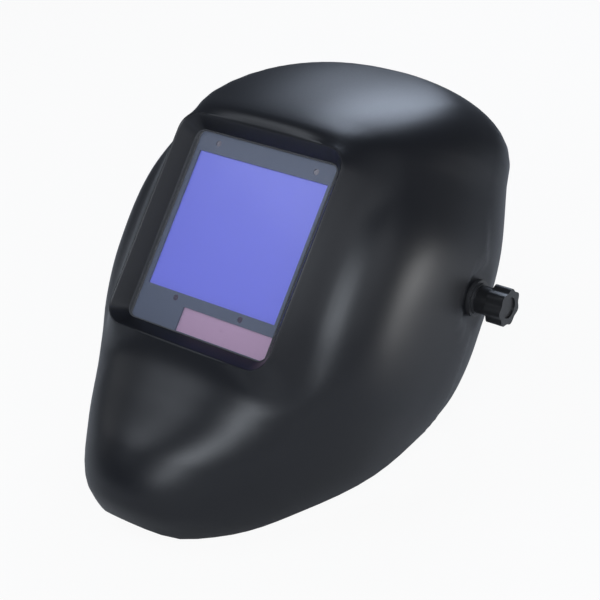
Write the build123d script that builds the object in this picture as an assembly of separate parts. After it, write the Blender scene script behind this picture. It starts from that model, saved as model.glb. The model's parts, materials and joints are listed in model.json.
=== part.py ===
"""Auto-darkening welding helmet: a moulded mask with a large filter window, and the
adjustable headgear that carries it on two side pivots.

Everything is built in the worn frame: millimetres, origin midway between the pivots,
front of the mask at -Y, wearer's left at +X, up at +Z. At the end the whole helmet is
leaned back onto its chin and ratchet knob, the way it stands on a bench.
"""
from build123d import *
from math import atan2, cos, degrees, hypot, pi, radians, sin, tan
import os

os.makedirs("parts", exist_ok=True)

# ---------------------------------------------------------------- mask shell
WALL = 2.6
# height, front, half width and squareness of the moulded plan outlines, chin upwards
OUTLINES = [
    (-182, -148, 42, 2.5),
    (-160, -172, 66, 2.1),
    (-130, -171, 86, 2.0),
    (-95, -152, 99, 2.4),
    (-65, -141, 108.5, 2.8),
    (-25, -136, 110.5, 3.1),
    (25, -126, 107.5, 3.2),
    (75, -115, 93, 2.8),
]
CROWN_TOP = 127.0
CROWN_APEX_Y = 6.5
CROWN_REAR = 90.0
CROWN_FRONT_SQUARENESS = 1.2
CROWN_SIDE_SQUARENESS = 2.3
CROWN_REAR_SQUARENESS = 2.2
CROWN_STEPS = (20, 38, 54, 68, 79, 86)
REAR_SQUARENESS = 2.2
OUTLINE_POINTS = 24
# side view of the moulded edge, from the chin round behind the pivot to the crown
RIM = [(-177, -165), (-160, -173), (-137, -176), (-111, -166), (-81, -147), (-28, -116), (5, -80),
       (26, -45), (48, -5), (60, 55), (68, 95), (72, 131)]

# ---------------------------------------------------------------- filter window
WINDOW_Y, WINDOW_Z = -120.0, -1.0      # centre of the lens face
WINDOW_TILT = 12.0
VISIBLE_W, VISIBLE_H = 107.0, 123.0
FILTER_W, FILTER_H = 114.0, 133.0
FIT_GAP = 0.3
FRAME_DEPTH = 10.0                     # lens face behind the front of the window frame
FUNNEL = 8.0                           # how far the frame's inner slope spreads
FRAME_RIM = 3.0
FRAME_TAPER = 32.0
POCKET_WALL, LIP_T = 3.0, 2.5
COVER_T = 1.0
GASKET_T, GASKET_RIM = 1.5, 5.0
CASE_FRONT_T, CASE_REAR_T = 5.0, 5.0
CASE_WALL, CASE_FACE = 2.0, 1.5
LCD_W, LCD_H, LCD_V = 98.0, 88.0, 5.3
GLASS_LAP, LCD_T, GLASS_T = 2.0, 2.0, 1.6
SOLAR_W, SOLAR_H, SOLAR_U, SOLAR_V = 70.0, 15.0, 18.0, -53.5
SOLAR_LAP, SOLAR_T = 1.5, 1.2
SENSORS = [(-37, 56), (38, 55), (-25, -42.3), (25, -42.3)]
SENSOR_R, SENSOR_BORE_R = 1.8, 1.9
INNER_LENS_T, INNER_LENS_LAP = 1.0, 3.0
BOARD_W, BOARD_H, BOARD_T = 56.0, 20.0, 1.6
CELL_R, CELL_T = 10.0, 3.2
CELL_U, CONTROL_V = 41.0, -54.0
DOOR_R, DOOR_T = 10.8, 2.6
TURN_GAP = 0.05                        # radial clearance of every shaft in its bore
DIAL_R, DIAL_T, DIAL_SHAFT_R, DIAL_PITCH = 6.0, 3.6, 2.0, 18.0
BUTTON_R, BUTTON_U, BUTTON_V, BUTTON_TRAVEL = 3.0, 30.0, 57.5, 1.0
SCREW_U, SCREW_V, SCREW_R, SCREW_HEAD_R, SCREW_HEAD_T = 54.4, 63.9, 0.9, 1.5, 0.8
RETAINER_T, RETAINER_BORDER = 2.5, 8.0
LATCH_PIN_R, LATCH_BOSS_R, LATCH_T, LATCH_REACH = 2.5, 5.5, 3.0, 15.0
LATCH_W = 8.0

# ---------------------------------------------------------------- pivots
PIVOT_SEAT_X, PIVOT_INNER_X = 107.0, 103.0
PIVOT_SEAT_R, PIVOT_BOSS_R = 17.0, 15.0
BUSH_R, BUSH_FLANGE_R, BUSH_FLANGE_T = 7.0, 12.0, 2.5
BOLT_R, BOLT_HEAD, BOLT_HEAD_T = 4.0, 15.0, 3.0
WASHER_R, WASHER_T = 10.0, 1.5
KNOB_NECK_R, KNOB_NECK_T = 9.0, 9.0
KNOB_R, KNOB_T, KNOB_LOBES = 12.4, 11.5, 7
STOP_R, STOP_T = 19.0, 2.4
STOP_REACH, STOP_LUG_W, STOP_PEG_R, STOP_MARGIN = 23.0, 6.0, 2.5, 16.0
STOP_PLATE_T = 2.0
TILT_RANGE = 50.0
ARM_X, ARM_T, ARM_L, ARM_H = 92.5, 3.0, 46.0, 30.0
SLOT_L = 24.0

# ---------------------------------------------------------------- headgear
BAND_TILT = 28.0                       # the band drops to the nape
BAND_HALF_W, BAND_FRONT, BAND_T, BAND_H = 76.0, 80.0, 2.0, 32.0
BAND_STRAIGHT = 26.0                   # straight run ahead of the pivot
BAND_END = 44.0
PAD_T, PAD_H = 7.0, 36.0
REAR_GAP = 0.3
REAR_START, REAR_LEN = 8.0, 54.0
REAR_T, REAR_H = 2.2, 18.0
REAR_REACH = 104.0
SIZE_TRAVEL = 16.0
HOUSING_W, HOUSING_H = 74.0, 32.0
HOUSING_WALL = 1.8
PINION_R = 6.0
DIAL_KNOB_R, DIAL_KNOB_T, DIAL_KNOB_LOBES = 17.0, 11.0, 12
REAR_PAD_T = 8.0
STRAP_T, STRAP_W, STRAP_LAP = 1.8, 20.0, 12.0
STRAPS = [("front", 4.5, 101.0), ("rear", 31.0, 99.0)]    # name, place behind the pivots, height
PEG_R = 2.5
ARM_SCREW_R, ARM_SCREW_HEAD_R, ARM_SCREW_HEAD_T, ARM_SCREW_Y = 1.0, 2.2, 1.2, 14.0

window = Plane(origin=(0, WINDOW_Y, WINDOW_Z), x_dir=(1, 0, 0),
               z_dir=(0, -cos(radians(WINDOW_TILT)), sin(radians(WINDOW_TILT))))
band = Plane(origin=(0, 0, 0), x_dir=(1, 0, 0),
             z_dir=(0, sin(radians(BAND_TILT)), cos(radians(BAND_TILT))))

nodes = {}


def put(name, *shapes):
    """Keep the solids of one node, built in the worn frame."""
    solids = []
    for shape in shapes:
        solids += shape.solids()
    nodes[name] = Compound(solids) if len(solids) > 1 else solids[0]


def plate(width, height, back, front, u=0.0, v=0.0, corner=0.0):
    """A flat plate parallel to the window, from depth back to depth front."""
    outline = RectangleRounded(width, height, corner) if corner else Rectangle(width, height)
    return window * Pos(u, v, back) * extrude(outline, front - back)


def disc(radius, back, front, u, v):
    return window * Pos(u, v, back) * extrude(Circle(radius), front - back)


def x_rod(radius, start, end, y=0.0, z=0.0):
    """A round bar along X between two places."""
    return Pos((start + end) / 2, y, z) * Rot(0, 90, 0) * Cylinder(radius, abs(end - start))


def x_block(start, end, width, height, y=0.0, z=0.0):
    return Pos((start + end) / 2, y, z) * Box(abs(end - start), width, height)


def lobed(radius, lobes, depth, thickness):
    """A grip with soft lobes, standing on its base along +Z."""
    points = []
    for k in range(lobes * 6):
        angle = 2 * pi * k / (lobes * 6)
        reach = radius - depth * (0.5 - 0.5 * cos(lobes * angle))
        points.append((reach * cos(angle), reach * sin(angle)))
    grip = extrude(make_face(Spline(points, periodic=True)), thickness)
    return grip


# ---------------------------------------------------------------- the mask
def outline(z, front, rear, centre, half, squareness):
    """One closed plan outline: squarer in front, round behind."""
    points = []
    for k in range(OUTLINE_POINTS):
        angle = 2 * pi * k / OUTLINE_POINTS
        c, s = cos(angle), sin(angle)
        power = 2 / squareness if c > 0 else 2 / REAR_SQUARENESS
        reach = (centre - front) if c > 0 else (rear - centre)
        side_power = 2 / squareness if c > 0 else 2 / REAR_SQUARENESS
        x = half * abs(s) ** side_power * (1 if s > 0 else -1)
        y = centre - reach * abs(c) ** power * (1 if c > 0 else -1)
        points.append((x, y, z))
    return make_face(Spline(points, periodic=True))


def body_form(inset):
    """The solid form of the mask, its skin set in by a distance."""
    sections = []
    for z, front, half, squareness in OUTLINES:
        centre = CROWN_APEX_Y - 0.45 * (OUTLINES[-1][0] - z) * 0.6
        sections.append(outline(z, front + inset, CROWN_REAR - inset, centre, half - inset, squareness))
    base, front, half, squareness = OUTLINES[-1]
    top = CROWN_TOP - inset
    for degree in CROWN_STEPS:
        rise = sin(radians(degree))
        z = base + (top - base) * rise
        ahead = (1 - rise ** CROWN_FRONT_SQUARENESS) ** (1 / CROWN_FRONT_SQUARENESS)
        aside = (1 - rise ** CROWN_SIDE_SQUARENESS) ** (1 / CROWN_SIDE_SQUARENESS)
        behind = (1 - rise ** CROWN_REAR_SQUARENESS) ** (1 / CROWN_REAR_SQUARENESS)
        sections.append(outline(
            z,
            CROWN_APEX_Y + (front + inset - CROWN_APEX_Y) * ahead,
            CROWN_APEX_Y + (CROWN_REAR - inset - CROWN_APEX_Y) * behind,
            CROWN_APEX_Y, (half - inset) * aside, squareness))
    return loft(sections)


def rim_keeper():
    """Everything in front of and above the moulded edge."""
    ahead, above = OUTLINES[2][1] - 40, CROWN_TOP + 30
    edge = Spline([(y, z) for y, z in RIM])
    start, end = RIM[0], RIM[-1]
    rest = Polyline([end, (end[0], above), (ahead, above), (ahead, start[1] - 2), start])
    profile = make_face([edge] + list(rest.edges()))
    return extrude(Plane.YZ * profile, 2 * OUTLINES[4][2], both=True)


def window_frame():
    """The raised frame round the window, with its sloped inner sides."""
    outer_w = VISIBLE_W + 2 * (FUNNEL + FRAME_RIM)
    outer_h = VISIBLE_H + 2 * (FUNNEL + FRAME_RIM)
    depth = FRAME_DEPTH + 14
    front = Pos(0, 0, FRAME_DEPTH) * RectangleRounded(outer_w, outer_h, 18)
    spread = 2 * depth * tan(radians(FRAME_TAPER))
    back = Pos(0, 0, FRAME_DEPTH - depth) * RectangleRounded(outer_w + spread, outer_h + spread, 24)
    return window * loft([back, front])


def window_cut():
    """The funnel in front of the lens, and the hole through the lip."""
    near = Pos(0, 0, 0) * RectangleRounded(VISIBLE_W, VISIBLE_H, 6)
    far = Pos(0, 0, FRAME_DEPTH + 0.01) * RectangleRounded(
        VISIBLE_W + 2 * FUNNEL, VISIBLE_H + 2 * FUNNEL, 12)
    hole = loft([near, far])
    return window * hole


def pocket_size(extra=0.0):
    return FILTER_W + 2 * FIT_GAP + 2 * extra, FILTER_H + 2 * FIT_GAP + 2 * extra


stack = {}
stack["cover"] = -COVER_T
stack["gasket"] = stack["cover"] - GASKET_T
stack["front_case"] = stack["gasket"] - CASE_FRONT_T
stack["rear_case"] = stack["front_case"] - CASE_REAR_T
retainer_front = stack["rear_case"] - 0.2
retainer_back = retainer_front - RETAINER_T
latch_front = retainer_back - 0.3
latch_u = FILTER_W / 2 + FIT_GAP + POCKET_WALL + LATCH_BOSS_R - 1.5


washer_x = PIVOT_SEAT_X + BUSH_FLANGE_T
knob_x = washer_x + WASHER_T
stop_x = ARM_X + ARM_T / 2
stop_back = stop_x + STOP_T


def make_shell():
    """The moulded skin with the window frame and lip in its front, and a flat seat at each pivot."""
    outer = body_form(0.0)
    inner = body_form(WALL)
    frame = window_frame()
    width, height = pocket_size(POCKET_WALL)
    face = frame & plate(2 * FILTER_W, 2 * FILTER_H, 0.0, FRAME_DEPTH)
    lip = plate(width, height, 0.0, LIP_T)
    body = (outer - inner) + (frame - inner) + face + (lip & outer)
    for side in (-1, 1):
        body += x_rod(PIVOT_BOSS_R, side * PIVOT_INNER_X, side * (PIVOT_SEAT_X + 3)) & outer
    width, height = pocket_size()
    body -= plate(width, height, stack["rear_case"] - 30, 0.0)
    body -= window_cut()
    # clear the window from the lip outward, in case the skin stands in front of it
    body -= window * Pos(0, 0, FRAME_DEPTH) * extrude(
        RectangleRounded(VISIBLE_W + 2 * FUNNEL, VISIBLE_H + 2 * FUNNEL, 12), 30)
    for side in (-1, 1):
        body -= x_rod(PIVOT_SEAT_R, side * PIVOT_SEAT_X, side * (PIVOT_SEAT_X + 20))
        body -= x_rod(BUSH_R, side * (PIVOT_INNER_X - 5), side * (PIVOT_SEAT_X + 5))
    body &= rim_keeper()
    solids = sorted(body.solids(), key=lambda s: s.volume)
    put("shell", solids[-1])
    make_carrier(inner)
    make_stop_plates(inner)


def make_carrier(cavity):
    """The tray bonded behind the lip: four walls round the filter and a boss for each latch."""
    width, height = pocket_size(POCKET_WALL)
    tray = plate(width, height, stack["rear_case"], 0.0)
    for side in (-1, 1):
        tray += disc(LATCH_BOSS_R, retainer_back, 0.0, side * latch_u, 0.0)
    width, height = pocket_size()
    tray -= plate(width, height, stack["rear_case"] - 30, 1.0)
    for side in (-1, 1):
        tray -= disc(LATCH_PIN_R + TURN_GAP, retainer_back - 1, retainer_back + 9, side * latch_u, 0.0)
    solids = sorted((tray & cavity).solids(), key=lambda s: s.volume)
    put("filter_carrier", solids[-1])


def make_stop_plates(cavity):
    """A plate under each bush with the two pegs that the tilt stop runs between."""
    for name, side in (("left", 1), ("right", -1)):
        back, front = side * (PIVOT_INNER_X - STOP_PLATE_T), side * PIVOT_INNER_X
        piece = x_rod(PIVOT_BOSS_R, back, front)
        for angle in (-STOP_MARGIN, TILT_RANGE + STOP_MARGIN):
            arm = x_block(back, front, 2 * STOP_PEG_R + 4, STOP_REACH, 0, STOP_REACH / 2)
            arm += x_rod(STOP_PEG_R + 2, back, front, 0, STOP_REACH)
            arm += x_rod(STOP_PEG_R, side * (stop_x + 0.3), back, 0, STOP_REACH)
            piece += Rot(angle, 0, 0) * arm
        piece -= x_rod(BUSH_R, side * (PIVOT_INNER_X - 5), side * (PIVOT_INNER_X + 5))
        put(f"stop_plate_{name}", piece & cavity)


# ---------------------------------------------------------------- the filter cartridge
def make_lenses():
    put("front_cover_lens", plate(FILTER_W, FILTER_H, stack["cover"], 0.0, corner=3))
    ring = plate(FILTER_W, FILTER_H, stack["gasket"], stack["cover"], corner=3)
    hole = plate(FILTER_W - 2 * GASKET_RIM, FILTER_H - 2 * GASKET_RIM, stack["gasket"] - 1, 1, corner=3)
    put("lens_gasket", ring - hole)


lcd_front = stack["gasket"] - CASE_FACE
glass_front = lcd_front - LCD_T
case_split = stack["front_case"]
case_back = stack["rear_case"]
rear_face = case_back + CASE_FACE
shelf_top = glass_front - GLASS_T


def make_front_case():
    case = plate(FILTER_W, FILTER_H, case_split, stack["gasket"], corner=3)
    case -= plate(FILTER_W - 2 * CASE_WALL, FILTER_H - 2 * CASE_WALL, case_split - 1, lcd_front, corner=1)
    case -= plate(LCD_W, LCD_H, lcd_front - 1, 0, v=LCD_V)
    case -= plate(SOLAR_W, SOLAR_H, lcd_front - 1, 0, SOLAR_U, SOLAR_V)
    for u, v in SENSORS:
        case -= disc(SENSOR_BORE_R, lcd_front - 1, 0, u, v)
    for u in (-SCREW_U, SCREW_U):
        for v in (-SCREW_V, SCREW_V):
            case -= disc(SCREW_R, case_split - 1, lcd_front, u, v)
    put("filter_front_case", case)


def make_optics():
    wide, high = LCD_W + 2 * GLASS_LAP, LCD_H + 2 * GLASS_LAP
    put("lcd_panel", plate(wide, high, glass_front, lcd_front, v=LCD_V))
    put("filter_glass", plate(wide, high, shelf_top, glass_front, v=LCD_V))
    put("solar_cell", plate(SOLAR_W + 2 * SOLAR_LAP, SOLAR_H + 2 * SOLAR_LAP,
                            lcd_front - SOLAR_T, lcd_front, SOLAR_U, SOLAR_V))
    sensors = []
    for u, v in SENSORS:
        sensors.append(disc(SENSOR_R, lcd_front, stack["gasket"] - 0.3, u, v)
                       + disc(SENSOR_R + 0.6, lcd_front - 1.2, lcd_front, u, v)
                       - plate(wide, high, shelf_top, lcd_front, v=LCD_V)
                       - plate(SOLAR_W + 2 * SOLAR_LAP, SOLAR_H + 2 * SOLAR_LAP,
                               lcd_front - SOLAR_T, lcd_front, SOLAR_U, SOLAR_V))
    put("arc_sensors", *sensors)


def control_places():
    return [("sensitivity_dial", -DIAL_PITCH), ("shade_dial", 0.0), ("delay_dial", DIAL_PITCH)]


def make_rear_case():
    case = plate(FILTER_W, FILTER_H, case_back, case_split, corner=3)
    case -= plate(FILTER_W - 2 * CASE_WALL, FILTER_H - 2 * CASE_WALL, rear_face, case_split + 1, corner=1)
    # the shelf that carries the glass, and the opening for the view
    shelf = plate(LCD_W + 2 * GLASS_LAP, LCD_H + 2 * GLASS_LAP, rear_face - 0.5, shelf_top, v=LCD_V)
    case += shelf
    case -= plate(LCD_W, LCD_H, case_back - 1, 0, v=LCD_V)
    case -= plate(LCD_W + 2 * INNER_LENS_LAP, LCD_H + 2 * INNER_LENS_LAP,
                  case_back - 1, case_back + INNER_LENS_T, v=LCD_V)
    for side in (-1, 1):
        case -= disc(DOOR_R + TURN_GAP, case_back - 1, rear_face + DOOR_T, side * CELL_U, CONTROL_V)
    for _, u in control_places():
        case -= disc(DIAL_SHAFT_R + TURN_GAP, case_back - 1, rear_face + 1, u, CONTROL_V)
    case -= disc(BUTTON_R + TURN_GAP, case_back - 1, rear_face + 1, BUTTON_U, BUTTON_V)
    for u in (-SCREW_U, SCREW_U):
        for v in (-SCREW_V, SCREW_V):
            case -= disc(SCREW_R, case_back - 1, case_split + 1, u, v)
            case -= disc(SCREW_HEAD_R, case_back - 1, case_back + SCREW_HEAD_T, u, v)
    put("filter_rear_case", case)
    put("inner_cover_lens", plate(LCD_W + 2 * INNER_LENS_LAP - 0.2, LCD_H + 2 * INNER_LENS_LAP - 0.2,
                                  case_back, case_back + INNER_LENS_T, v=LCD_V))
    screws = []
    for u in (-SCREW_U, SCREW_U):
        for v in (-SCREW_V, SCREW_V):
            screw = disc(SCREW_R, case_back + 0.1, lcd_front - 0.5, u, v)
            screw += disc(SCREW_HEAD_R, case_back + 0.1, case_back + SCREW_HEAD_T, u, v)
            screws.append(screw)
    put("case_screws", *screws)


def make_electronics():
    top = rear_face + 2.0
    board = plate(BOARD_W, BOARD_H, top, top + BOARD_T, v=CONTROL_V)
    chips = plate(12, 9, top + BOARD_T, top + BOARD_T + 1.2, -14, CONTROL_V)
    chips += plate(8, 8, top + BOARD_T, top + BOARD_T + 1.2, 6, CONTROL_V)
    for _, u in control_places():
        chips += plate(9, 9, rear_face, top, u, CONTROL_V)
        chips -= disc(DIAL_SHAFT_R + TURN_GAP, rear_face - 1, top + 0.01, u, CONTROL_V)
    for u in (-BOARD_W / 2 + 3, BOARD_W / 2 - 3):
        chips += plate(3, 3, rear_face, top, u, CONTROL_V)
    put("circuit_board", board + chips)
    cells = [disc(CELL_R, rear_face + 0.2 + DOOR_T - CASE_FACE, rear_face + 0.2 + DOOR_T - CASE_FACE + CELL_T,
                  side * CELL_U, CONTROL_V) for side in (-1, 1)]
    put("coin_cells", *cells)
    for name, side in (("battery_door_left", 1), ("battery_door_right", -1)):
        door = disc(DOOR_R, case_back - 0.1, rear_face + 0.2 + DOOR_T - CASE_FACE, side * CELL_U, CONTROL_V)
        slot = plate(14, 2, case_back - 2, case_back + 0.9, side * CELL_U, CONTROL_V)
        put(name, door - slot)
    for name, u in control_places():
        cap = disc(DIAL_R, case_back - 0.2 - DIAL_T, case_back - 0.2, u, CONTROL_V)
        flutes = None
        for k in range(12):
            a = 2 * pi * k / 12
            cut = disc(0.8, case_back - 5, case_back + 1, u + DIAL_R * cos(a), CONTROL_V + DIAL_R * sin(a))
            flutes = cut if flutes is None else flutes + cut
        pointer = plate(1, 5, case_back - 5, case_back - DIAL_T + 0.4, u, CONTROL_V + 3)
        shaft = disc(DIAL_SHAFT_R, case_back - 0.3, rear_face + 1.8, u, CONTROL_V)
        put(name, cap - flutes - pointer + shaft)
    button = disc(BUTTON_R, case_back - 2.0, case_back + 1.2, BUTTON_U, BUTTON_V)
    put("test_button", button)


def make_retainer():
    width, height = pocket_size(POCKET_WALL)
    ring = plate(width, height, retainer_back, retainer_front, corner=4)
    ring -= plate(FILTER_W - 2 * RETAINER_BORDER + 4, FILTER_H - RETAINER_BORDER,
                  retainer_back - 1, retainer_front + 1, corner=3)
    for side in (-1, 1):
        ring -= disc(LATCH_BOSS_R + FIT_GAP, retainer_back - 1, retainer_front + 1, side * latch_u, 0)
        grip = plate(10, 3, retainer_back - 3, retainer_back, 0, side * (height / 2 - 2.5))
        ring += grip
    put("retaining_frame", ring)
    for name, side in (("retainer_latch_left", 1), ("retainer_latch_right", -1)):
        arm = plate(LATCH_REACH, LATCH_W, latch_front - LATCH_T, latch_front,
                    side * (latch_u - LATCH_REACH / 2), 0)
        arm += disc(LATCH_W / 2, latch_front - LATCH_T, latch_front, side * latch_u, 0)
        arm += disc(LATCH_W / 2, latch_front - LATCH_T, latch_front, side * (latch_u - LATCH_REACH), 0)
        grip = plate(2, LATCH_W - 1, latch_front - LATCH_T - 3, latch_front - LATCH_T,
                     side * (latch_u - LATCH_REACH + 1), 0)
        pin = disc(LATCH_PIN_R, latch_front - 0.1, retainer_back + 8.5, side * latch_u, 0)
        put(name, arm + grip + pin)


# ---------------------------------------------------------------- the pivots
def make_pivots():
    for name, side in (("left", 1), ("right", -1)):
        bush = x_rod(BUSH_R, side * stop_back, side * PIVOT_SEAT_X)
        bush += x_rod(BUSH_FLANGE_R, side * PIVOT_SEAT_X, side * washer_x)
        bush -= x_rod(BOLT_R + TURN_GAP, side * (stop_x - 1), side * (washer_x + 1))
        put(f"pivot_bush_{name}", bush)
        washer = x_rod(WASHER_R, side * washer_x, side * knob_x)
        put(f"friction_washer_{name}", washer - x_rod(BOLT_R + TURN_GAP, side * (washer_x - 1), side * (knob_x + 1)))
        grip_x = knob_x + KNOB_NECK_T
        neck = x_rod(KNOB_NECK_R, side * knob_x, side * (grip_x + 0.5))
        grip = Plane(origin=(side * grip_x, 0, 0), x_dir=(0, 1, 0), z_dir=(side, 0, 0)) * lobed(
            KNOB_R, KNOB_LOBES, 1.6, KNOB_T)
        knob = neck + grip
        knob -= x_rod(BOLT_R + TURN_GAP, side * (knob_x - 1), side * (grip_x + KNOB_T - 3))
        knob -= x_rod(KNOB_R * 0.55, side * (grip_x + KNOB_T - 1.2), side * (grip_x + KNOB_T + 1))
        put(f"tension_knob_{name}", knob)
        disc_ = x_rod(STOP_R, side * stop_x, side * stop_back)
        disc_ += x_block(side * stop_x, side * stop_back, STOP_LUG_W, 10, 0, STOP_REACH - 4)
        disc_ -= x_rod(BOLT_R + TURN_GAP, side * (stop_x - 1), side * (stop_back + 1))
        put(f"stop_disc_{name}", disc_)
        bolt = x_rod(BOLT_R, side * (ARM_X - ARM_T / 2 - 0.5), side * (grip_x + KNOB_T - 4))
        bolt += x_block(side * (ARM_X - ARM_T / 2 - BOLT_HEAD_T), side * (ARM_X - ARM_T / 2), BOLT_HEAD, BOLT_HEAD)
        put(f"pivot_bolt_{name}", bolt)


def in_band(shape):
    return band * shape


# ---------------------------------------------------------------- the headgear
side_x = BAND_HALF_W + BAND_T
shelf_z = ARM_H / 2 - ARM_T / 2


def screw_places():
    return [(y, z) for y in (-ARM_SCREW_Y, ARM_SCREW_Y) for z in (-shelf_z, shelf_z)]


def make_arms():
    """A slotted plate each side, held off the band by two shelves the nape strap runs between."""
    screws = []
    for name, side in (("left", 1), ("right", -1)):
        arm = x_block(side * (ARM_X - ARM_T / 2), side * (ARM_X + ARM_T / 2), ARM_L, ARM_H)
        arm -= x_block(side * (ARM_X - ARM_T), side * (ARM_X + ARM_T), SLOT_L, 2 * (BOLT_R + FIT_GAP))
        for y in (-SLOT_L / 2, SLOT_L / 2):
            arm -= x_rod(BOLT_R + FIT_GAP, side * (ARM_X - ARM_T), side * (ARM_X + ARM_T), y)
        for z in (-shelf_z, shelf_z):
            arm += x_block(side * side_x, side * (ARM_X - ARM_T / 2), ARM_L - 8, ARM_T, 0, z)
        for y, z in screw_places():
            arm -= x_rod(ARM_SCREW_R, side * (side_x - 1), side * (side_x + 8), y, z)
            screw = x_rod(ARM_SCREW_HEAD_R, side * (BAND_HALF_W - ARM_SCREW_HEAD_T), side * BAND_HALF_W, y, z)
            screw += x_rod(ARM_SCREW_R, side * (BAND_HALF_W - 1), side * (side_x + 8), y, z)
            screws.append(in_band(screw))
        put(f"side_arm_{name}", in_band(arm))
    put("arm_screws", *screws)


def band_outline(extra, end):
    """The head band's outline: an arch over the forehead, straight beside the ears."""
    half = BAND_HALF_W + extra
    arch = EllipticalCenterArc((0, -BAND_STRAIGHT), half, BAND_FRONT - BAND_STRAIGHT + extra,
                               start_angle=180, arc_size=180)
    left = Line((half, -BAND_STRAIGHT), (half, end))
    right = Line((-half, end), (-half, -BAND_STRAIGHT))
    back = Line((half, end), (-half, end))
    return make_face([arch.edge(), left.edge(), back.edge(), right.edge()])


def rear_outline(extra, start):
    """The nape strap's outline, from beside the band round to the back of the head."""
    half = BAND_HALF_W + BAND_T + REAR_GAP + extra
    turn = REAR_START + REAR_LEN
    arch = EllipticalCenterArc((0, turn), half, REAR_REACH - turn + extra, start_angle=0, arc_size=180)
    left = Line((half, start), (half, turn))
    right = Line((-half, turn), (-half, start))
    back = Line((-half, start), (half, start))
    return make_face([arch.edge(), left.edge(), back.edge(), right.edge()])


def make_band():
    strip = extrude(band_outline(BAND_T, BAND_END) - band_outline(0.0, BAND_END + 1), BAND_H / 2, both=True)
    for side in (-1, 1):
        for y, z in screw_places():
            strip -= x_rod(ARM_SCREW_R, side * (BAND_HALF_W - 1), side * (side_x + 1), y, z)
        for _, y, _ in STRAPS:
            strip -= x_rod(PEG_R, side * (BAND_HALF_W - 1), side * (side_x + 1), peg_along(y))
    put("headband", in_band(strip))
    pad = extrude(band_outline(-FIT_GAP, 0) - band_outline(-FIT_GAP - PAD_T, 1), PAD_H / 2, both=True)
    ahead = Pos(0, -BAND_FRONT, 0) * Box(4 * BAND_HALF_W, 2 * (BAND_FRONT - BAND_STRAIGHT), 2 * PAD_H)
    put("sweatband", in_band(pad & ahead))


def peg_along(y):
    """Distance along the tilted band of the peg under a strap that stands at y."""
    return y / cos(radians(BAND_TILT))


def make_rear():
    strip = extrude(rear_outline(REAR_T, REAR_START) - rear_outline(0.0, REAR_START - 1), REAR_H / 2, both=True)
    for name, side in (("left", 1), ("right", -1)):
        keep = Pos(side * 100.3, 60, 0) * Box(200, 200, 100)
        put(f"rear_strap_{name}", in_band(strip & keep))
    # the housing wraps the strap ends behind the head
    shell_out = rear_outline(REAR_T + 0.3 + HOUSING_WALL, REAR_START) - rear_outline(-0.3 - HOUSING_WALL, REAR_START - 1)
    hollow = rear_outline(REAR_T + 0.3, REAR_START) - rear_outline(-0.3, REAR_START - 1)
    block = extrude(shell_out, HOUSING_H / 2, both=True)
    block -= extrude(hollow, (REAR_H + 0.6) / 2, both=True)
    keep = Pos(0, REAR_REACH, 0) * Box(HOUSING_W, 40, HOUSING_H + 2)
    housing = block & keep
    put("ratchet_housing", in_band(housing))
    back = REAR_REACH + REAR_T + 0.3 + HOUSING_WALL
    plane = Plane(origin=(0, back, 0), x_dir=(-1, 0, 0), z_dir=(0, 1, 0))
    knob = plane * Pos(0, 0, 1.0) * lobed(DIAL_KNOB_R, DIAL_KNOB_LOBES, 1.2, DIAL_KNOB_T)
    shaft = plane * Pos(0, 0, -6.5) * extrude(Circle(4), 8)
    nodes["ratchet_housing"] -= in_band(plane * Pos(0, 0, -12) * extrude(Circle(4 + TURN_GAP), 14))
    for name in ("left", "right"):
        nodes[f"rear_strap_{name}"] -= in_band(plane * Pos(0, 0, -12) * extrude(Circle(4.5), 14))
    put("ratchet_knob", in_band(knob + shaft))
    pad = rear_outline(-0.6 - HOUSING_WALL, REAR_START) - rear_outline(-0.6 - HOUSING_WALL - REAR_PAD_T, REAR_START - 1)
    pad_keep = Pos(0, REAR_REACH - 6, 0) * Box(HOUSING_W + 8, 48, HOUSING_H + 8)
    put("nape_pad", in_band(extrude(pad, (HOUSING_H + 4) / 2, both=True) & pad_keep))


def make_straps():
    """Two bands over the head, each in halves that overlap at the crown."""
    pegs = []
    half = BAND_HALF_W - STRAP_T
    for name, y, apex in STRAPS:
        foot = -y * tan(radians(BAND_TILT))
        plane = Plane(origin=(0, y, foot), x_dir=(1, 0, 0), z_dir=(0, -1, 0))
        for side_name, side, lift in (("left", 1, 0.0), ("right", -1, STRAP_T + 0.15)):
            rise = apex - foot + lift
            arches = []
            for grow in (STRAP_T, 0.0):
                arch = EllipticalCenterArc((0, 0), half + grow, rise + grow, start_angle=0, arc_size=180)
                base = Line((-half - grow, 0), (half + grow, 0))
                arches.append(make_face([arch.edge(), base.edge()]))
            strip = extrude(arches[0] - arches[1], STRAP_W / 2, both=True)
            keep = Pos(side * (BAND_HALF_W - STRAP_LAP), rise / 2, 0) * Box(2 * BAND_HALF_W, 2 * rise, 2 * STRAP_W)
            tail = Pos(side * (half + STRAP_T / 2), -4, 0) * Box(STRAP_T, 8.02, STRAP_W)
            piece = (strip & keep) + tail
            hole = Pos(0, rise, 0) * Rot(90, 0, 0) * Cylinder(PEG_R, 12)
            piece -= hole
            piece = plane * piece
            piece -= x_rod(PEG_R, side * (half - 1), side * (BAND_HALF_W + 1), y, foot)
            put(f"crown_strap_{name}_{side_name}", piece)
            peg = x_rod(PEG_R, side * (half - 1), side * side_x, y, foot)
            peg += x_rod(PEG_R + 1.5, side * (half - 1.5), side * (half - 0.3), y, foot)
            pegs.append(peg)
        crown = Pos(0, y, apex - 0.3) * Cylinder(PEG_R, 2 * STRAP_T + 0.6, align=(Align.CENTER, Align.CENTER, Align.MIN))
        crown += Pos(0, y, apex - 1.4) * Cylinder(PEG_R + 1.5, 1.2, align=(Align.CENTER, Align.CENTER, Align.MIN))
        pegs.append(crown)
    put("strap_pegs", *pegs)


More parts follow.
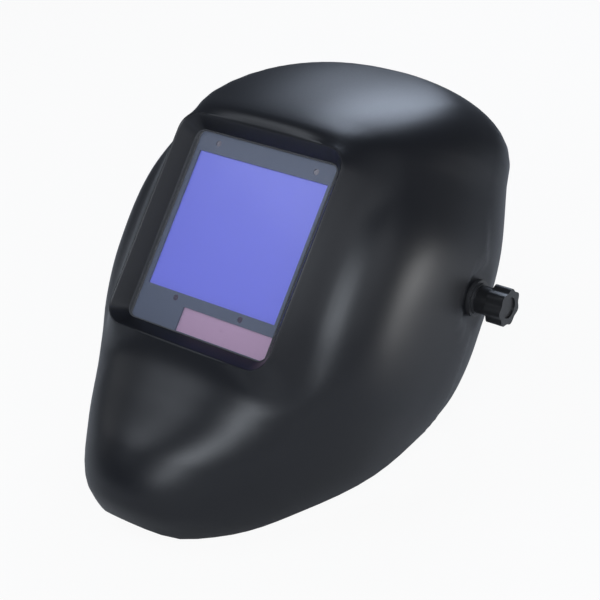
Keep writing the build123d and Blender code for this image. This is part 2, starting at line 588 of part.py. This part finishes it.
def resting_lean():
    """Lean at which the chin and the ratchet knob touch the bench together."""
    front = nodes["shell"]
    rear = nodes["ratchet_knob"]
    low, high = 5.0, 45.0
    front_points = [v for v in front.tessellate(0.5)[0]]
    rear_points = [v for v in rear.tessellate(0.2)[0]]
    for _ in range(30):
        lean = (low + high) / 2
        c, s = cos(radians(lean)), sin(radians(lean))
        chin = min(v.Z * c - v.Y * s for v in front_points)
        knob = min(v.Z * c - v.Y * s for v in rear_points)
        if knob > chin:
            low = lean
        else:
            high = lean
    return lean, min(chin, knob)


make_shell()
make_lenses()
make_front_case()
make_optics()
make_rear_case()
make_electronics()
make_retainer()
make_pivots()
make_arms()
make_band()
make_rear()
make_straps()

lean, lowest = resting_lean()
placed = {name: Rot(-lean, 0, 0) * shape for name, shape in nodes.items()}
boxes = [shape.bounding_box() for shape in placed.values()]
shift = (0,
         -(min(b.min.Y for b in boxes) + max(b.max.Y for b in boxes)) / 2,
         -min(b.min.Z for b in boxes))
print("lean", round(lean, 4), "shift", [round(v, 4) for v in shift])
for name, shape in placed.items():
    export_step(Pos(*shift) * shape, f"parts/{name}.step")
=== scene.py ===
# %% [markdown]
# # A welding helmet with an auto-darkening window
# The fixed parts come from the CAD frame. Here the mask's skin is modelled again as a
# smooth moulding, the pads are made soft, and every surface gets its finish.

import bpy
import json
from math import atan2, cos, degrees, exp, hypot, pi, radians, sin
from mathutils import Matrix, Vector
from mathutils.bvhtree import BVHTree


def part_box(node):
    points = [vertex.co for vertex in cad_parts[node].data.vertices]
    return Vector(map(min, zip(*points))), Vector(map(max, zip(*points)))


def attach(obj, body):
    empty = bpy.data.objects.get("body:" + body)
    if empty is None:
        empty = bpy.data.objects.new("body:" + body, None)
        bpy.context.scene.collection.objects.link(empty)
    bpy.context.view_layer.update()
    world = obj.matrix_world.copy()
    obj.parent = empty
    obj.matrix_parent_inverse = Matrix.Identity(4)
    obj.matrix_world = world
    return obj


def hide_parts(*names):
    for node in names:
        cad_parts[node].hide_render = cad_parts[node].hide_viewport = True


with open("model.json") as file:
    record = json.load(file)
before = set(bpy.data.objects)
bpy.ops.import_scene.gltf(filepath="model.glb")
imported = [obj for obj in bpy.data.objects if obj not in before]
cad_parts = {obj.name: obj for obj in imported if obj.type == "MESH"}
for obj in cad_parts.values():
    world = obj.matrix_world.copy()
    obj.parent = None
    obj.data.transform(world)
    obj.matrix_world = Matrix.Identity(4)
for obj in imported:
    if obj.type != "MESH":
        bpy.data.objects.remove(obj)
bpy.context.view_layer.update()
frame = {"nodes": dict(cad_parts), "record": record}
MM = 0.001
joints = {j["name"]: j for j in frame["record"]["behaviour"]["joints"]}
pivot = Vector(joints["mask_tilt"]["pos_m"])
window_normal = Vector(joints["test_press"]["axis"])
WINDOW_TILT = radians(12.0)
lean = atan2(window_normal.z, -window_normal.y) - WINDOW_TILT
print("pivot", tuple(round(v, 4) for v in pivot), "lean", round(degrees(lean), 2))


# %% [markdown]
# The helmet is easiest to describe as it is worn: the origin between the two pivots, the
# front at -Y. `worn` turns such a point, in millimetres, into its place on the bench.

# %% Worn frame and window frame
def worn(x, y, z):
    y, z = y * MM, z * MM
    return Vector((x * MM, y * cos(lean) + z * sin(lean), -y * sin(lean) + z * cos(lean))) + pivot


WINDOW_Y, WINDOW_Z = -120.0, -1.0
VISIBLE_W, VISIBLE_H = 107.0, 123.0
FUNNEL, FRAME_DEPTH = 8.0, 10.0


def window_point(u, v, n):
    """Across, up and out of the window, as a worn-frame point."""
    c, s = cos(WINDOW_TILT), sin(WINDOW_TILT)
    return Vector((u, WINDOW_Y + v * s - n * c, WINDOW_Z + v * c + n * s))


def from_window(u, v, n):
    return worn(*window_point(u, v, n))


def deselect():
    if bpy.context.object and bpy.context.object.mode != "OBJECT":
        bpy.ops.object.mode_set(mode="OBJECT")
    bpy.ops.object.select_all(action="DESELECT")


def pick(piece):
    deselect()
    piece.select_set(True)
    bpy.context.view_layer.objects.active = piece


def apply_modifiers(piece):
    pick(piece)
    for modifier in list(piece.modifiers):
        bpy.ops.object.modifier_apply(modifier=modifier.name)


# %% [markdown]
# The mask is a moulding whose plan outline changes with height: squarer in front where the
# window sits, round at the sides, and closing over the crown. A few outlines are listed and
# the rest are blended between them, as a designer would loft them.

# %% The moulded form
OUTLINES = [
    (-182, -148, 42, 2.5),
    (-160, -172, 66, 2.1),
    (-130, -171, 86, 2.0),
    (-95, -152, 99, 2.4),
    (-65, -141, 108.5, 2.8),
    (-25, -136, 110.5, 3.1),
    (25, -126, 107.5, 3.2),
    (75, -115, 93, 2.8),
]
CROWN_TOP, CROWN_APEX_Y, CROWN_REAR = 127.0, 6.5, 90.0
FRONT_POWER, SIDE_POWER, REAR_POWER = 1.2, 2.3, 2.2
RIM = [(-177, -165), (-160, -173), (-137, -176), (-111, -166), (-81, -147), (-28, -116), (5, -80),
       (26, -45), (48, -5), (60, 55), (68, 95), (72, 131)]


def smooth_value(points, t):
    """Catmull-Rom value at t through (place, value) pairs."""
    if t <= points[0][0]:
        return points[0][1]
    for k in range(len(points) - 1):
        a, b = points[k], points[k + 1]
        if t <= b[0]:
            before = points[k - 1] if k else a
            after = points[k + 2] if k + 2 < len(points) else b
            h = (t - a[0]) / (b[0] - a[0])
            slope_a = (b[1] - before[1]) / (b[0] - before[0]) * (b[0] - a[0])
            slope_b = (after[1] - a[1]) / (after[0] - a[0]) * (b[0] - a[0])
            return ((2 * h**3 - 3 * h**2 + 1) * a[1] + (h**3 - 2 * h**2 + h) * slope_a
                    + (3 * h**2 - 2 * h**3) * b[1] + (h**3 - h**2) * slope_b)
    return points[-1][1]


def outline_ring(z, count):
    """One plan outline of the moulding, as worn-frame points."""
    base = OUTLINES[-1][0]
    low = min(z, base)
    front = smooth_value([(o[0], o[1]) for o in OUTLINES], low)
    half = smooth_value([(o[0], o[2]) for o in OUTLINES], low)
    square = smooth_value([(o[0], o[3]) for o in OUTLINES], low)
    centre = CROWN_APEX_Y - 0.27 * (base - low)
    rear = CROWN_REAR
    if z > base:
        rise = min((z - base) / (CROWN_TOP - base), 0.99999)
        front = CROWN_APEX_Y + (front - CROWN_APEX_Y) * (1 - rise**FRONT_POWER) ** (1 / FRONT_POWER)
        rear = CROWN_APEX_Y + (rear - CROWN_APEX_Y) * (1 - rise**REAR_POWER) ** (1 / REAR_POWER)
        half *= (1 - rise**SIDE_POWER) ** (1 / SIDE_POWER)
    ring = []
    for k in range(count):
        angle = 2 * pi * k / count
        c, s = cos(angle), sin(angle)
        power = 2 / (square if c > 0 else REAR_POWER)
        reach = (centre - front) if c > 0 else (rear - centre)
        x = half * abs(s) ** power * (1 if s > 0 else -1)
        ring.append(Vector((x, centre - reach * abs(c) ** power * (1 if c > 0 else -1), z)))
    return ring


def form_tree():
    """The whole form as a fine mesh to cast rays on."""
    count = 240
    heights = [OUTLINES[0][0] + k * 2.0 for k in range(int((OUTLINES[-1][0] - OUTLINES[0][0]) / 2.0) + 1)]
    base = OUTLINES[-1][0]
    heights += [base + (CROWN_TOP - base) * sin(radians(2 * k)) for k in range(1, 45)]
    points, faces = [], []
    for z in heights:
        points += outline_ring(z, count)
    for r in range(len(heights) - 1):
        for k in range(count):
            a, b = r * count + k, r * count + (k + 1) % count
            faces.append((a, b, b + count, a + count))
    top = len(points)
    points.append(Vector((0, CROWN_APEX_Y, CROWN_TOP)))
    last = (len(heights) - 1) * count
    faces += [(last + k, last + (k + 1) % count, top) for k in range(count)]
    low = len(points)
    points.append(Vector((0, -60, OUTLINES[0][0])))
    faces += [((k + 1) % count, k, low) for k in range(count)]
    return BVHTree.FromPolygons(points, faces)


form = form_tree()
print("form ready")

# %% [markdown]
# The skin is laid out as rings round the window: the edge of the opening, the sloped inner
# side of the frame, its crest, the outer slope that melts into the mask, and then rings that
# walk over the form out to the moulded rim. Rings that follow the window keep its edge crisp.

# %% Rings round the window
CORNER_STEPS, SIDE_STEPS = 8, 24
HEART = Vector((0, -35, -20))


def rounded_rectangle(width, height, radius):
    """Points round a rounded rectangle, the same count and order for every size."""
    half_w, half_h = width / 2 - radius, height / 2 - radius
    points = []
    for corner, (sx, sy) in enumerate([(1, 1), (-1, 1), (-1, -1), (1, -1)]):
        for k in range(CORNER_STEPS):
            a = pi / 2 * (corner + k / CORNER_STEPS)
            points.append((sx * half_w + radius * cos(a), sy * half_h + radius * sin(a)))
        a = pi / 2 * (corner + 1)
        start = (sx * half_w + radius * cos(a), sy * half_h + radius * sin(a))
        nx, ny = [(1, 1), (-1, 1), (-1, -1), (1, -1)][(corner + 1) % 4]
        end = (nx * half_w + radius * cos(a), ny * half_h + radius * sin(a))
        for k in range(SIDE_STEPS):
            t = k / SIDE_STEPS
            points.append((start[0] + (end[0] - start[0]) * t, start[1] + (end[1] - start[1]) * t))
    return points


NORMAL = Vector((0, -cos(WINDOW_TILT), sin(WINDOW_TILT)))


def depth_on_form(u, v):
    """How far the plain form stands in front of the lens face at a place of the window."""
    start = window_point(u, v, 120)
    hit = form.ray_cast(start, -NORMAL)[0]
    return 120 - (hit - start).length


def rim_y(z):
    if z <= RIM[2][1]:
        return RIM[2][0]
    return smooth_value([(p[1], p[0]) for p in RIM[2:]], z)


def behind_rim(p):
    """True where a point of the form is cut away by the moulded rim."""
    if p.y < RIM[2][0]:
        floor = smooth_value([(q[0], q[1]) for q in RIM[:4]], max(p.y, RIM[0][0]))
        return p.z < floor
    return p.y > rim_y(p.z)


def skin_rings():
    edge = rounded_rectangle(VISIBLE_W, VISIBLE_H, 6)
    crest_w, crest_h = VISIBLE_W + 2 * FUNNEL, VISIBLE_H + 2 * FUNNEL
    rings = []
    for share, lift in ((0.0, 0.0), (0.08, 0.0), (0.16, 0.9), (0.86, FRAME_DEPTH - 0.9),
                        (0.94, FRAME_DEPTH - 0.25), (1.0, FRAME_DEPTH)):
        size = 2 * FUNNEL * share
        shape = rounded_rectangle(VISIBLE_W + size, VISIBLE_H + size, 6 + FUNNEL * share * 0.8)
        rings.append([window_point(u, v, lift) for u, v in shape])
    crest = rounded_rectangle(crest_w, crest_h, 6 + FUNNEL * 0.8)
    blend_w = 22.0
    for share in (0.06, 0.14, 0.24, 0.36, 0.5, 0.66, 0.83, 1.0):
        grow = 2 * blend_w * share
        shape = rounded_rectangle(crest_w + grow, crest_h + grow, 12.4 + blend_w * share)
        ring = []
        for (u, v), (cu, cv) in zip(shape, crest):
            drop = (1 - share) ** 2.2
            base = depth_on_form(u, v)
            crest_gap = FRAME_DEPTH - depth_on_form(cu, cv)
            ring.append(window_point(u, v, base + crest_gap * drop))
        rings.append(ring)
    outer = rings[-1]
    axis = (window_point(0, 0, 0) - HEART).normalized()
    walk = []
    for start in outer:
        ray = (start - HEART).normalized()
        side = (ray - axis * ray.dot(axis)).normalized()
        angle = ray.angle(axis)
        low, high = angle, pi
        for _ in range(26):
            middle = (low + high) / 2
            direction = axis * cos(middle) + side * sin(middle)
            hit = form.ray_cast(HEART, direction)[0]
            if hit is None or behind_rim(hit):
                high = middle
            else:
                low = middle
        walk.append((side, angle, low))
    steps = 56
    for k in range(1, steps + 1):
        ring = []
        for side, first, last in walk:
            a = first + (last - first) * k / steps
            ring.append(form.ray_cast(HEART, axis * cos(a) + side * sin(a))[0])
        rings.append(ring)
    return rings


rings = skin_rings()
print("rings", len(rings), "points in each", len(rings[0]))

# %% [markdown]
# One flat grid holds the rings: its columns go round the window and its rows walk outward, so
# the whole skin is one even net of quads. Two shapes are pressed in on the way: the flat seat
# that each pivot's bush sits on, and the shallow hollow and ridge down each side of the window
# that stiffen the moulding. A sculpted mesh could do this too, but a formula stays even.

# %% Lay the skin on a grid
SHELL_WALL = 2.6
SEAT_X, SEAT_R = 107.0, 17.0


VALLEY, VALLEY_AT, VALLEY_W = 2.6, 17.0, 9.0
RIDGE, RIDGE_AT, RIDGE_W = 1.6, 44.0, 13.0


def math_bump(x, centre, width):
    return exp(-((x - centre) / width) ** 2)


def beside_window(p):
    """Distance outside the frame's crest, and how far beside (not above) the window it lies."""
    local = p - window_point(0, 0, 0)
    u = abs(local.x)
    v = local.y * sin(WINDOW_TILT) + local.z * cos(WINDOW_TILT)
    du, dv = u - VISIBLE_W / 2 - FUNNEL, abs(v) - VISIBLE_H / 2 - FUNNEL
    outside = hypot(max(du, 0), max(dv, 0)) + min(max(du, dv), 0)
    share = min(max((abs(v + 5) - 45) / 45, 0), 1)
    return outside, 1 - share * share * (3 - 2 * share)


def shape_point(p):
    """The flat seat for each pivot, and the soft hollow and ridge beside the window."""
    q = p.copy()
    outside, beside = beside_window(p)
    if outside > 0.5 and p.y < 0:
        lift = RIDGE * math_bump(outside, RIDGE_AT, RIDGE_W)
        lift -= VALLEY * math_bump(outside, VALLEY_AT, VALLEY_W)
        q += (p - HEART).normalized() * lift * beside
    r = hypot(p.y, p.z)
    if abs(p.x) > 60 and r < SEAT_R + 5:
        t = min(max((r - SEAT_R + 1) / 5, 0), 1)
        blend = t * t * (3 - 2 * t)
        q.x = (1 if p.x > 0 else -1) * (SEAT_X * (1 - blend) + abs(p.x) * blend)
    return q


def lay_skin(name, rings):
    count = len(rings[0])
    deselect()
    bpy.ops.mesh.primitive_grid_add(x_subdivisions=count, y_subdivisions=len(rings) - 1, size=1)
    piece = bpy.context.object
    piece.name = name
    mesh = piece.data
    mesh.name = name
    co = []
    for ring in rings:
        for k in range(count + 1):
            co += list(worn(*shape_point(ring[k % count])))
    mesh.vertices.foreach_set("co", co)
    mesh.update()
    pick(piece)
    bpy.ops.object.mode_set(mode="EDIT")
    bpy.ops.mesh.select_all(action="SELECT")
    bpy.ops.mesh.remove_doubles(threshold=0.00002)
    bpy.ops.mesh.normals_make_consistent(inside=False)
    bpy.ops.object.mode_set(mode="OBJECT")
    return piece


skin = lay_skin("mask_skin", rings)
print("skin", len(skin.data.vertices), "points,", len(skin.data.polygons), "faces")
heart = worn(*HEART)
outward = sum(p.normal.dot(p.center - heart) > 0 for p in skin.data.polygons)
print("faces that point out", outward)
if outward < len(skin.data.polygons) / 2:
    pick(skin)
    bpy.ops.object.mode_set(mode="EDIT")
    bpy.ops.mesh.select_all(action="SELECT")
    bpy.ops.mesh.flip_normals()
    bpy.ops.object.mode_set(mode="OBJECT")

# %% [markdown]
# The moulding has an even wall that thins where the frame slopes down to the lens. A vertex
# group carries that, Solidify builds the inner face inward, and a narrow Bevel breaks the edge
# all round the rim, where a real one is trimmed and rubbed smooth.

# %% Give the skin its wall
edge_group = skin.vertex_groups.new(name="wall")
window_up = (from_window(0, 1, 0) - from_window(0, 0, 0)).normalized()
for vertex in skin.data.vertices:
    local = vertex.co - from_window(0, 0, 0)
    out = local.dot(window_normal) / MM
    across = abs(local.x) / MM
    up = abs(local.dot(window_up)) / MM
    inside = across < VISIBLE_W / 2 + FUNNEL and up < VISIBLE_H / 2 + FUNNEL
    weight = 1.0 if not inside else max(0.1, min(1.0, out / FRAME_DEPTH))
    edge_group.add([vertex.index], weight, "REPLACE")
wall = skin.modifiers.new("wall", "SOLIDIFY")
wall.thickness = SHELL_WALL * MM
wall.offset = -1
wall.vertex_group = "wall"
wall.use_even_offset = False
soften = skin.modifiers.new("rim", "BEVEL")
soften.width = 0.7 * MM
soften.segments = 2
soften.limit_method = "ANGLE"
soften.angle_limit = radians(60)
apply_modifiers(skin)
bpy.ops.object.shade_smooth_by_angle(angle=radians(50))
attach(skin, "mask")
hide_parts("shell")
print("skin with wall", len(skin.data.polygons), "faces")

# %% [markdown]
# The two pads are foam in a knitted cover. Each starts from its plain solid, is remeshed fine
# enough to bend, and is blown up a little as cloth, so that its faces crown and its edges
# round over. What faces the head may swell; what lies against the plastic stays where it is.

# %% Swell a pad
BAND_TILT = radians(28.0)
band_along = (worn(0, cos(BAND_TILT), -sin(BAND_TILT)) - worn(0, 0, 0)).normalized()
band_up = (worn(0, sin(BAND_TILT), cos(BAND_TILT)) - worn(0, 0, 0)).normalized()


def band_place(point):
    """Across, along and up in the band's own plane, in millimetres."""
    local = (point - pivot) / MM
    return local.x, local.dot(band_along), local.dot(band_up)


def swell(name, node, cap, middle_y):
    source = frame["nodes"][node]
    piece = bpy.data.objects.new(name, source.data.copy())
    piece.data.name = name
    bpy.context.scene.collection.objects.link(piece)
    pick(piece)
    bpy.ops.object.mode_set(mode="EDIT")
    bpy.ops.mesh.select_all(action="SELECT")
    bpy.ops.mesh.remove_doubles(threshold=0.00002)
    bpy.ops.object.mode_set(mode="OBJECT")
    remesh = piece.modifiers.new("even", "REMESH")
    remesh.mode = "VOXEL"
    remesh.voxel_size = 2.2 * MM
    apply_modifiers(piece)
    before = [v.co.copy() for v in piece.data.vertices]
    cloth = piece.modifiers.new("fill", "CLOTH")
    cloth.settings.use_pressure = True
    cloth.settings.uniform_pressure_force = 4
    cloth.settings.effector_weights.gravity = 0
    cloth.settings.tension_stiffness = 12
    cloth.settings.compression_stiffness = 12
    cloth.point_cache.frame_start = 1
    cloth.point_cache.frame_end = 20
    for step in range(1, 21):
        bpy.context.scene.frame_set(step)
    apply_modifiers(piece)
    bpy.context.scene.frame_set(1)
    for vertex, start in zip(piece.data.vertices, before):
        move = vertex.co - start
        x, y, _ = band_place(start)
        inward = -(Vector((1, 0, 0)) * x + band_along * (y - middle_y)).normalized()
        out = min(move.dot(inward), 0)
        move -= inward * out
        if move.length > cap * MM:
            move *= cap * MM / move.length
        vertex.co = start + move
    finer = piece.modifiers.new("finer", "SUBSURF")
    finer.levels = 1
    finer.render_levels = 1
    apply_modifiers(piece)
    bpy.ops.object.shade_smooth()
    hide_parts(node)
    print(name, len(piece.data.polygons), "faces after swelling")
    return piece


def sew(piece, middle_y, pitch, half_h, depth):
    """Press the sewn channels and the edge seam into a swollen pad."""
    for vertex in piece.data.vertices:
        x, y, z = band_place(vertex.co)
        reach = hypot(x, y - middle_y)
        run = reach * atan2(x, middle_y - y if middle_y > y else y - middle_y)
        groove = math_bump((run / pitch - round(run / pitch)) * pitch, 0, 1.5) * depth
        edge = math_bump(abs(z) - half_h + 4.5, 0, 1.2) * depth * 0.8
        inward = (Vector((1, 0, 0)) * x + band_along * (y - middle_y)).normalized()
        normal = vertex.normal
        facing = max(0.0, -normal.dot(inward))
        vertex.co += inward * max(groove * (abs(z) < half_h - 3.5), edge) * facing * MM
    piece.data.update()


# %% [markdown]
# The forehead pad is quilted by sewn channels about a finger's width apart and has a seam
# round its edge, and the nape pad is made the same way. The channels come after the swelling,
# because remeshing would wipe them out. Both ride with the band that holds them.

# %% The sweatband and the nape pad
SWEATBAND_TURN, NAPE_TURN = -26.0, 62.0
sweatband = swell("sweatband_foam", "sweatband", 2.6, SWEATBAND_TURN)
sew(sweatband, SWEATBAND_TURN, 24.0, 18.0, 2.2)
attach(sweatband, "headgear")
nape = swell("nape_foam", "nape_pad", 2.6, NAPE_TURN)
sew(nape, NAPE_TURN, 20.0, 18.0, 2.2)
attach(nape, "nape")

# %% [markdown]
# Finishes. Each is a small node tree on Object coordinates: a slow change of colour, a fine
# grain in the roughness, and a bump, all at the scale the real surface shows.

# %% Finish maker
def finish(name, colour, rough, grain=900.0, bump=0.05, change=0.12, metal=0.0, specular=0.5, coat=0.0,
           rough_change=0.08):
    material = bpy.data.materials.new(name)
    material.use_nodes = True
    tree = material.node_tree
    shader = tree.nodes["Principled BSDF"]
    place = tree.nodes.new("ShaderNodeTexCoord")
    slow = tree.nodes.new("ShaderNodeTexNoise")
    slow.inputs["Scale"].default_value = 14
    slow.inputs["Detail"].default_value = 4
    ramp = tree.nodes.new("ShaderNodeMix")
    ramp.data_type = "RGBA"
    ramp.inputs[6].default_value = (*[c * (1 - change) for c in colour], 1)
    ramp.inputs[7].default_value = (*[min(1, c * (1 + change)) for c in colour], 1)
    fine = tree.nodes.new("ShaderNodeTexNoise")
    fine.inputs["Scale"].default_value = grain
    fine.inputs["Detail"].default_value = 3
    spread = tree.nodes.new("ShaderNodeMapRange")
    spread.inputs["To Min"].default_value = max(0.02, rough - rough_change)
    spread.inputs["To Max"].default_value = min(1.0, rough + rough_change)
    raised = tree.nodes.new("ShaderNodeBump")
    raised.inputs["Strength"].default_value = bump
    raised.inputs["Distance"].default_value = 0.0004
    link = tree.links.new
    link(place.outputs["Object"], slow.inputs["Vector"])
    link(place.outputs["Object"], fine.inputs["Vector"])
    link(slow.outputs["Fac"], ramp.inputs[0])
    link(ramp.outputs[2], shader.inputs["Base Color"])
    link(fine.outputs["Fac"], spread.inputs["Value"])
    link(spread.outputs["Result"], shader.inputs["Roughness"])
    link(fine.outputs["Fac"], raised.inputs["Height"])
    link(raised.outputs["Normal"], shader.inputs["Normal"])
    shader.inputs["Metallic"].default_value = metal
    shader.inputs["Specular IOR Level"].default_value = specular
    shader.inputs["Coat Weight"].default_value = coat
    return material


shell_finish = finish("satin_shell", (0.008, 0.0085, 0.011), 0.4, grain=1400, bump=0.06, specular=0.42)
black_finish = finish("matte_black", (0.014, 0.014, 0.015), 0.55, grain=1100, bump=0.12)
knob_finish = finish("knob_black", (0.012, 0.012, 0.013), 0.36, grain=1000, bump=0.08)
grey_finish = finish("filter_case_grey", (0.044, 0.061, 0.111), 0.5, grain=1200, bump=0.08)
steel_finish = finish("zinc_steel", (0.55, 0.55, 0.56), 0.32, grain=700, bump=0.05, metal=1.0)
nylon_finish = finish("dark_nylon", (0.03, 0.03, 0.032), 0.45, grain=900, bump=0.05)
board_finish = finish("board_green", (0.02, 0.12, 0.05), 0.4, grain=600, bump=0.1, change=0.3)
gasket_finish = finish("foam_gasket", (0.02, 0.02, 0.02), 0.9, grain=1800, bump=0.5)
# %% [markdown]
# The pads' cover is a fine knit. Small cells stand for its loops, raised over a finer grain,
# and a little sheen gives the soft edge that cloth has where it turns away.

# %% Knitted cover
def knit_finish(name, colour):
    """A knitted cover: fine loops as bump, a soft sheen and a slightly uneven dye."""
    material = finish(name, colour, 0.92, grain=2600, bump=0.6, change=0.3, specular=0.25)
    tree = material.node_tree
    shader = tree.nodes["Principled BSDF"]
    shader.inputs["Sheen Weight"].default_value = 0.35
    shader.inputs["Sheen Roughness"].default_value = 0.4
    loops = tree.nodes.new("ShaderNodeTexVoronoi")
    loops.inputs["Scale"].default_value = 620
    place = [n for n in tree.nodes if n.type == "TEX_COORD"][0]
    second = tree.nodes.new("ShaderNodeBump")
    second.inputs["Strength"].default_value = 0.7
    second.inputs["Distance"].default_value = 0.0006
    first = [n for n in tree.nodes if n.type == "BUMP" and n != second][0]
    tree.links.new(place.outputs["Object"], loops.inputs["Vector"])
    tree.links.new(loops.outputs["Distance"], second.inputs["Height"])
    tree.links.new(first.outputs["Normal"], second.inputs["Normal"])
    tree.links.new(second.outputs["Normal"], shader.inputs["Normal"])
    return material


pad_finish = knit_finish("knit_charcoal", (0.028, 0.028, 0.031))

# %% Small dark parts
sensor_finish = finish("sensor_dark", (0.03, 0.012, 0.04), 0.15, grain=500, bump=0.02)


# %% [markdown]
# Behind a clear cover lens, the panel is coated and shows violet, with a weak emission that paints a glow
# on it, and the solar cell is mauve.
# The cover is thin and nearly invisible, so a little alpha serves better than refraction, which
# would be noisy over so large a sheet.

# %% Window finishes
def lcd_with_painted_glow():
    material = finish("lcd_violet_painted_glow", (0.13, 0.143, 0.67), 0.3,
                      grain=300, bump=0.0, change=0.04, rough_change=0.02)
    shader = material.node_tree.nodes["Principled BSDF"]
    # The panel is no lamp: this weak violet emission is a painted glow.
    shader.inputs["Emission Color"].default_value = (0.13, 0.143, 0.67, 1)
    shader.inputs["Emission Strength"].default_value = 0.15
    return material


def clear_finish(name):
    material = bpy.data.materials.new(name)
    material.use_nodes = True
    tree = material.node_tree
    shader = tree.nodes["Principled BSDF"]
    shader.inputs["Base Color"].default_value = (0.9, 0.92, 1.0, 1)
    shader.inputs["Alpha"].default_value = 0.04
    place = tree.nodes.new("ShaderNodeTexCoord")
    haze = tree.nodes.new("ShaderNodeTexNoise")
    haze.inputs["Scale"].default_value = 60
    spread = tree.nodes.new("ShaderNodeMapRange")
    spread.inputs["To Min"].default_value = 0.04
    spread.inputs["To Max"].default_value = 0.12
    tree.links.new(place.outputs["Object"], haze.inputs["Vector"])
    tree.links.new(haze.outputs["Fac"], spread.inputs["Value"])
    tree.links.new(spread.outputs["Result"], shader.inputs["Roughness"])
    material.surface_render_method = "DITHERED"
    return material


# %% [markdown]
# Each CAD piece keeps its mesh and gets the finish of its material slot.

# %% Put the finishes on
lcd = lcd_with_painted_glow()
clear = clear_finish("clear_polycarbonate")
solar = finish("solar_mauve", (0.47, 0.285, 0.43), 0.3, grain=250, bump=0.03, change=0.08)

finish_of = {
    "shell_plastic": shell_finish, "black_plastic": black_finish, "grey_plastic": grey_finish,
    "knob_plastic": knob_finish, "clear_lens": clear, "lcd": lcd, "ir_glass": lcd, "solar": solar,
    "sensor": sensor_finish, "steel": steel_finish, "pcb": board_finish, "cell_steel": steel_finish,
    "nylon": nylon_finish, "gasket_foam": gasket_finish, "foam_pad": pad_finish,
}
slot_of = {s["node"]: s["material_slot"] for s in frame["record"]["subparts"]}
for node, piece in frame["nodes"].items():
    piece.data.materials.clear()
    piece.data.materials.append(finish_of[slot_of[node]])
skin.data.materials.append(shell_finish)
for pad in (sweatband, nape):
    pad.data.materials.clear()
    pad.data.materials.append(pad_finish)
print("finishes on", len(frame["nodes"]), "frame pieces")

# %% [markdown]
# The studio: a pale floor, a large cool light behind the crown that draws the broad glow on the
# forehead, a smaller one in front on the right for the cheek, and a weak one for the chin.

# %% Floor
deselect()
bpy.ops.mesh.primitive_plane_add(size=6, location=(0, 0, 0))
floor = bpy.context.object
floor.name = "floor"
paper = bpy.data.materials.new("floor_paper")
paper.use_nodes = True
tree = paper.node_tree
shader = tree.nodes["Principled BSDF"]
shader.inputs["Base Color"].default_value = (0.8, 0.8, 0.8, 1)
shader.inputs["Roughness"].default_value = 0.9
glow = tree.nodes.new("ShaderNodeEmission")
glow.inputs["Strength"].default_value = 1.0
mix = tree.nodes.new("ShaderNodeMixShader")
path = tree.nodes.new("ShaderNodeLightPath")
scale = tree.nodes.new("ShaderNodeMath")
scale.operation = "MULTIPLY"
scale.inputs[1].default_value = 0.93
out = tree.nodes["Material Output"]
tree.links.new(path.outputs["Is Camera Ray"], scale.inputs[0])
tree.links.new(scale.outputs[0], mix.inputs[0])
tree.links.new(shader.outputs[0], mix.inputs[1])
tree.links.new(glow.outputs[0], mix.inputs[2])
tree.links.new(mix.outputs[0], out.inputs[0])
floor.data.materials.append(paper)

# %% World
world = bpy.data.worlds.new("studio")
bpy.context.scene.world = world
world.use_nodes = True
tree = world.node_tree
tree.nodes.clear()
dim = tree.nodes.new("ShaderNodeBackground")
dim.inputs["Color"].default_value = (0.75, 0.84, 1.0, 1)
dim.inputs["Strength"].default_value = 0.1
white = tree.nodes.new("ShaderNodeBackground")
white.inputs["Color"].default_value = (1, 1, 1, 1)
white.inputs["Strength"].default_value = 1.0
mix = tree.nodes.new("ShaderNodeMixShader")
path = tree.nodes.new("ShaderNodeLightPath")
out = tree.nodes.new("ShaderNodeOutputWorld")
tree.links.new(path.outputs["Is Camera Ray"], mix.inputs[0])
tree.links.new(dim.outputs[0], mix.inputs[1])
tree.links.new(white.outputs[0], mix.inputs[2])
tree.links.new(mix.outputs[0], out.inputs[0])


# %% Lights
def soft_light(name, place, target, size, power, colour=(1, 1, 1)):
    data = bpy.data.lights.new(name, "AREA")
    data.shape = "RECTANGLE"
    data.size, data.size_y = size
    data.energy = power
    data.color = colour
    lamp = bpy.data.objects.new(name, data)
    bpy.context.scene.collection.objects.link(lamp)
    lamp.location = place
    lamp.rotation_euler = (Vector(target) - Vector(place)).to_track_quat("-Z", "Y").to_euler()
    return lamp


soft_light("crown_glow", (-0.42, 1.12, 0.97), (0.04, 0, 0.22), (0.6, 0.6), 8, (0.72, 0.82, 1.0))
soft_light("brow_fill", (-0.6, -0.65, 1.15), (0.03, -0.02, 0.22), (0.6, 0.6), 4, (0.85, 0.91, 1.0))
soft_light("front_right", (0.62, -1.05, 0.75), (0.08, -0.05, 0.14), (0.46, 0.55), 9, (0.86, 0.92, 1.0))
soft_light("right_fill", (1.25, -0.35, 0.85), (0.08, 0, 0.16), (0.9, 0.9), 3.2, (0.9, 0.94, 1.0))
soft_light("chin_left", (-1.2, -0.35, 0.5), (-0.02, -0.14, 0.07), (0.35, 0.5), 0.6, (0.95, 0.97, 1.0))
soft_light("low_bounce", (0.75, 0.3, 0.05), (0.09, -0.05, 0.04), (0.3, 0.2), 2.0)

# %% [markdown]
# The camera stands to the wearer's left and above, with a long lens, and looks past the middle
# of the panel so that the whole mask is in view.

# %% Camera
low, high = [Vector(v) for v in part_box("lcd_panel")]
screen = (low + high) / 2
LENS = 93.6
AZIMUTH, ELEVATION, DISTANCE = radians(36.9), radians(26.2), 0.927
target = screen + Vector((0.0466, 0.0, -0.0293))
toward = Vector((sin(AZIMUTH) * cos(ELEVATION), -cos(AZIMUTH) * cos(ELEVATION), sin(ELEVATION)))
camera_data = bpy.data.cameras.new("camera")
camera_data.lens = LENS
camera_data.sensor_width = 36
camera = bpy.data.objects.new("camera", camera_data)
bpy.context.scene.collection.objects.link(camera)
camera.location = target + toward * DISTANCE
camera.rotation_euler = (-toward).to_track_quat("-Z", "Y").to_euler()
bpy.context.scene.camera = camera
bpy.context.scene.view_settings.view_transform = "Standard"
print("camera at", tuple(round(v, 3) for v in camera.location))
